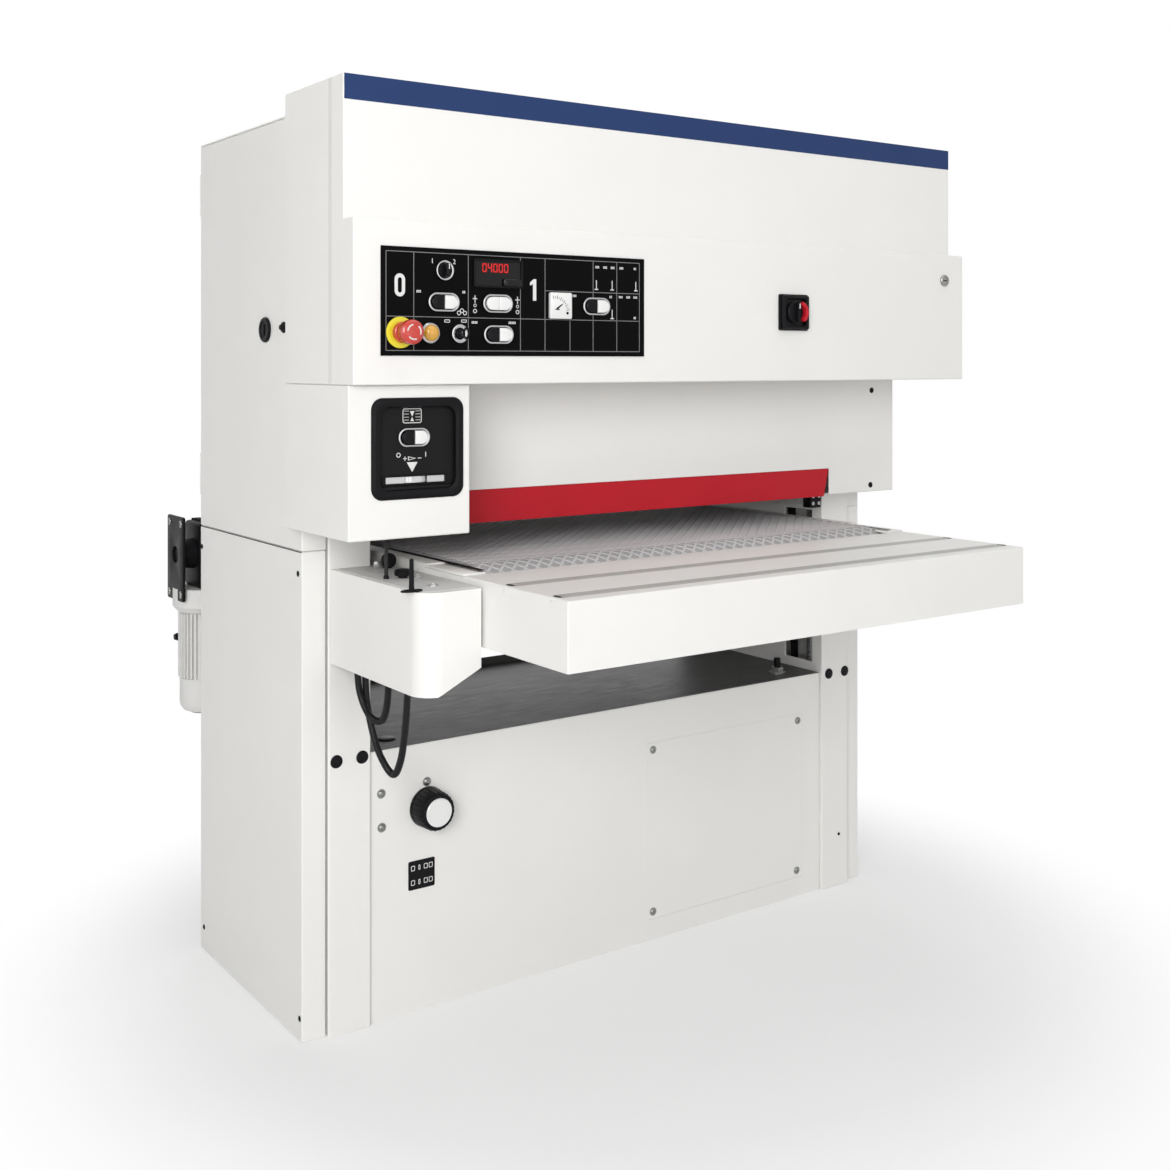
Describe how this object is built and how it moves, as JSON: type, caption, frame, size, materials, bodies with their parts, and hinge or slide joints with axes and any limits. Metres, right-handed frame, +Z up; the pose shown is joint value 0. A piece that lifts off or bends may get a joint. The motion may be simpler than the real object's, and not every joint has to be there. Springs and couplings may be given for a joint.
{
  "type": "wide-belt sanding machine",
  "caption": "Wide-belt sanding machine: a steel cabinet with a powered sanding head above a belt-fed table that rises and falls.",
  "frame": {"origin": "floor level, under the middle of the whole machine's width and length", "axes": "+Z up, +X along the working width towards the operator's right, -Y towards the operator at the infeed side"},
  "size_m": [1.534, 1.331, 1.801],
  "materials": {
    "white_paint": "warm white powder coat, satin, very light orange peel",
    "grey_paint": "grey machine enamel, satin",
    "gearmotor_paint": "white finned motor on a black worm gearbox",
    "red_paint": "signal red powder coat, satin",
    "machined_steel": "turned and ground steel",
    "tension_alloy": "turned aluminium",
    "black_rubber": "ground black rubber",
    "grey_rubber": "grey rubber with a raised diamond tread",
    "abrasive_cloth": "abrasive grain on cloth backing, matt",
    "black_plastic": "black moulded plastic, fine texture",
    "white_plastic": "glossy white button plastic",
    "red_plastic": "glossy red plastic"
  },
  "bodies": {
    "frame": {"base_frame": "white_paint", "access_plate": "white_paint", "left_column": "white_paint", "right_column": "white_paint", "left_lower_cover": "white_paint", "right_lower_cover": "white_paint", "right_upper_cover": "white_paint", "upper_front_panel": "white_paint", "upper_rear_panel": "white_paint", "hood_shell": "white_paint", "hood_front_cover": "white_paint", "roof_panel": "white_paint", "thickness_box": "white_paint", "thickness_panel": "black_plastic", "head_beam": "grey_paint", "abrasive_belt": "abrasive_cloth", "main_motor": "grey_paint", "drive_belt": "black_rubber", "short_conduit": "black_plastic", "long_conduit": "black_plastic"},
    "left_door": {"left_upper_door": "white_paint"},
    "door_lock": {"door_lock": "black_plastic"},
    "control_door": {"control_door": "white_paint", "control_fascia": "black_plastic"},
    "power_button_off": {"power_button_off": "black_plastic"},
    "power_button_on": {"power_button_on": "white_plastic"},
    "belt_button_off": {"belt_button_off": "black_plastic"},
    "belt_button_on": {"belt_button_on": "white_plastic"},
    "feed_button_off": {"feed_button_off": "black_plastic"},
    "feed_button_on": {"feed_button_on": "white_plastic"},
    "mode_button_off": {"mode_button_off": "black_plastic"},
    "mode_button_on": {"mode_button_on": "white_plastic"},
    "thickness_button_down": {"thickness_button_down": "black_plastic"},
    "thickness_button_up": {"thickness_button_up": "white_plastic"},
    "thickness_wheel": {"thickness_wheel": "machined_steel"},
    "estop": {"estop_button": "red_plastic"},
    "selector": {"selector_knob": "black_plastic"},
    "key": {"key_switch": "machined_steel"},
    "main_switch": {"main_switch_handle": "red_plastic"},
    "pressure_knob": {"pressure_knob": "black_plastic"},
    "red_guard": {"red_guard": "red_paint"},
    "tension_yoke": {"tension_yoke": "machined_steel"},
    "tension_roller": {"tension_roller": "tension_alloy"},
    "contact_roller": {"contact_roller": "black_rubber"},
    "motor_pulley": {"motor_pulley": "machined_steel"},
    "infeed_pressure_roller": {"infeed_pressure_roller": "black_rubber"},
    "outfeed_pressure_roller": {"outfeed_pressure_roller": "black_rubber"},
    "table": {"table_bed": "grey_paint", "feed_belt": "grey_rubber", "infeed_apron": "white_paint", "cable_box": "white_paint", "gearmotor": "gearmotor_paint"},
    "drive_roller": {"drive_roller": "black_rubber"},
    "idler_roller": {"idler_roller": "machined_steel"},
    "apron_roller_front": {"apron_roller_front": "white_paint"},
    "apron_roller_rear": {"apron_roller_rear": "white_paint"},
    "lift_screw_left_front": {"lift_screw_left_front": "machined_steel"},
    "lift_screw_left_rear": {"lift_screw_left_rear": "machined_steel"},
    "lift_screw_right_front": {"lift_screw_right_front": "machined_steel"},
    "lift_screw_right_rear": {"lift_screw_right_rear": "machined_steel"}
  },
  "joints": [
    {"name": "table_lift", "type": "slide", "parent": "frame", "child": "table", "axis": [0, 0, 1], "range_m": [-0.107, 0.05], "deforming": ["short_conduit", "long_conduit"]},
    {"name": "drive_roller_turn", "type": "hinge", "parent": "table", "child": "drive_roller", "pos_m": [0, 0.5905, 0.835], "axis": [1, 0, 0], "continuous": true},
    {"name": "idler_roller_turn", "type": "hinge", "parent": "table", "child": "idler_roller", "pos_m": [0, -0.2795, 0.835], "axis": [1, 0, 0], "continuous": true},
    {"name": "apron_roller_front_turn", "type": "hinge", "parent": "table", "child": "apron_roller_front", "pos_m": [0, -0.6195, 0.8757], "axis": [1, 0, 0], "continuous": true},
    {"name": "apron_roller_rear_turn", "type": "hinge", "parent": "table", "child": "apron_roller_rear", "pos_m": [0, -0.4795, 0.8757], "axis": [1, 0, 0], "continuous": true},
    {"name": "lift_screw_left_front_turn", "type": "hinge", "parent": "frame", "child": "lift_screw_left_front", "pos_m": [-0.6385, 0.0205, 0.5003], "axis": [0, 0, 1], "range_deg": [-6421, 3001]},
    {"name": "lift_screw_left_rear_turn", "type": "hinge", "parent": "frame", "child": "lift_screw_left_rear", "pos_m": [-0.6385, 0.4005, 0.5003], "axis": [0, 0, 1], "range_deg": [-6421, 3001]},
    {"name": "lift_screw_right_front_turn", "type": "hinge", "parent": "frame", "child": "lift_screw_right_front", "pos_m": [0.6385, 0.0205, 0.5003], "axis": [0, 0, 1], "range_deg": [-6421, 3001]},
    {"name": "lift_screw_right_rear_turn", "type": "hinge", "parent": "frame", "child": "lift_screw_right_rear", "pos_m": [0.6385, 0.4005, 0.5003], "axis": [0, 0, 1], "range_deg": [-6421, 3001]},
    {"name": "contact_roller_turn", "type": "hinge", "parent": "frame", "child": "contact_roller", "pos_m": [0, 0.2105, 1.0235], "axis": [1, 0, 0], "continuous": true},
    {"name": "yoke_slide", "type": "slide", "parent": "frame", "child": "tension_yoke", "axis": [0, 0, 1], "range_m": [-0.03, 0]},
    {"name": "tension_roller_turn", "type": "hinge", "parent": "tension_yoke", "child": "tension_roller", "pos_m": [0, 0.2105, 1.6055], "axis": [1, 0, 0], "continuous": true},
    {"name": "motor_turn", "type": "hinge", "parent": "frame", "child": "motor_pulley", "pos_m": [0, 0.2105, 0.25], "axis": [1, 0, 0], "continuous": true},
    {"name": "infeed_pressure_roller_turn", "type": "hinge", "parent": "frame", "child": "infeed_pressure_roller", "pos_m": [0, 0.0855, 0.974], "axis": [1, 0, 0], "continuous": true},
    {"name": "outfeed_pressure_roller_turn", "type": "hinge", "parent": "frame", "child": "outfeed_pressure_roller", "pos_m": [0, 0.3355, 0.974], "axis": [1, 0, 0], "continuous": true},
    {"name": "left_door_hinge", "type": "hinge", "parent": "frame", "child": "left_door", "pos_m": [-0.73, 0.4805, 0], "axis": [0, 0, 1], "range_deg": [-110, 0]},
    {"name": "door_lock_turn", "type": "hinge", "parent": "left_door", "child": "door_lock", "pos_m": [-0.73, 0.1205, 1.323], "axis": [1, 0, 0], "range_deg": [0, 90]},
    {"name": "control_door_hinge", "type": "hinge", "parent": "frame", "child": "control_door", "pos_m": [-0.767, -0.2985, 0], "axis": [0, 0, 1], "range_deg": [-90, 0]},
    {"name": "red_guard_swing", "type": "hinge", "parent": "frame", "child": "red_guard", "pos_m": [0, -0.158, 1.016], "axis": [1, 0, 0], "range_deg": [0, 20], "stiffness_Nm_per_rad": 3},
    {"name": "pressure_knob_turn", "type": "hinge", "parent": "frame", "child": "pressure_knob", "pos_m": [-0.468, -0.0515, 0.392], "axis": [0, 1, 0], "range_deg": [-135, 135]},
    {"name": "thickness_wheel_turn", "type": "hinge", "parent": "frame", "child": "thickness_wheel", "pos_m": [-0.634, -0.2645, 1.0567], "axis": [0, 0, 1], "continuous": true},
    {"name": "thickness_button_down_press", "type": "slide", "parent": "frame", "child": "thickness_button_down", "axis": [0, 1, 0], "range_m": [0, 0.004], "stiffness_N_per_m": 300},
    {"name": "thickness_button_up_press", "type": "slide", "parent": "frame", "child": "thickness_button_up", "axis": [0, 1, 0], "range_m": [0, 0.004], "stiffness_N_per_m": 300},
    {"name": "power_button_off_press", "type": "slide", "parent": "control_door", "child": "power_button_off", "axis": [0, 1, 0], "range_m": [0, 0.004], "stiffness_N_per_m": 300},
    {"name": "power_button_on_press", "type": "slide", "parent": "control_door", "child": "power_button_on", "axis": [0, 1, 0], "range_m": [0, 0.004], "stiffness_N_per_m": 300},
    {"name": "belt_button_off_press", "type": "slide", "parent": "control_door", "child": "belt_button_off", "axis": [0, 1, 0], "range_m": [0, 0.004], "stiffness_N_per_m": 300},
    {"name": "belt_button_on_press", "type": "slide", "parent": "control_door", "child": "belt_button_on", "axis": [0, 1, 0], "range_m": [0, 0.004], "stiffness_N_per_m": 300},
    {"name": "feed_button_off_press", "type": "slide", "parent": "control_door", "child": "feed_button_off", "axis": [0, 1, 0], "range_m": [0, 0.004], "stiffness_N_per_m": 300},
    {"name": "feed_button_on_press", "type": "slide", "parent": "control_door", "child": "feed_button_on", "axis": [0, 1, 0], "range_m": [0, 0.004], "stiffness_N_per_m": 300},
    {"name": "mode_button_off_press", "type": "slide", "parent": "control_door", "child": "mode_button_off", "axis": [0, 1, 0], "range_m": [0, 0.004], "stiffness_N_per_m": 300},
    {"name": "mode_button_on_press", "type": "slide", "parent": "control_door", "child": "mode_button_on", "axis": [0, 1, 0], "range_m": [0, 0.004], "stiffness_N_per_m": 300},
    {"name": "estop_press", "type": "slide", "parent": "control_door", "child": "estop", "axis": [0, 1, 0], "range_m": [0, 0.006]},
    {"name": "selector_turn", "type": "hinge", "parent": "control_door", "child": "selector", "pos_m": [-0.5965, -0.3408, 1.419], "axis": [0, 1, 0], "range_deg": [-45, 45]},
    {"name": "key_turn", "type": "hinge", "parent": "control_door", "child": "key", "pos_m": [-0.5666, -0.3408, 1.3098], "axis": [0, 1, 0], "range_deg": [0, 90]},
    {"name": "main_switch_turn", "type": "hinge", "parent": "control_door", "child": "main_switch", "pos_m": [0.2325, -0.3385, 1.363], "axis": [0, 1, 0], "range_deg": [0, 90]}
  ],
  "couplings": [
    {"joint": "lift_screw_left_front_turn", "follows": "table_lift", "rad_per_m": 1047.2},
    {"joint": "lift_screw_left_rear_turn", "follows": "table_lift", "rad_per_m": 1047.2},
    {"joint": "lift_screw_right_front_turn", "follows": "table_lift", "rad_per_m": 1047.2},
    {"joint": "lift_screw_right_rear_turn", "follows": "table_lift", "rad_per_m": 1047.2},
    {"joint": "idler_roller_turn", "follows": "drive_roller_turn", "ratio": 1},
    {"joint": "tension_roller_turn", "follows": "contact_roller_turn", "ratio": 1.5556},
    {"joint": "motor_turn", "follows": "contact_roller_turn", "ratio": 0.7333}
  ]
}
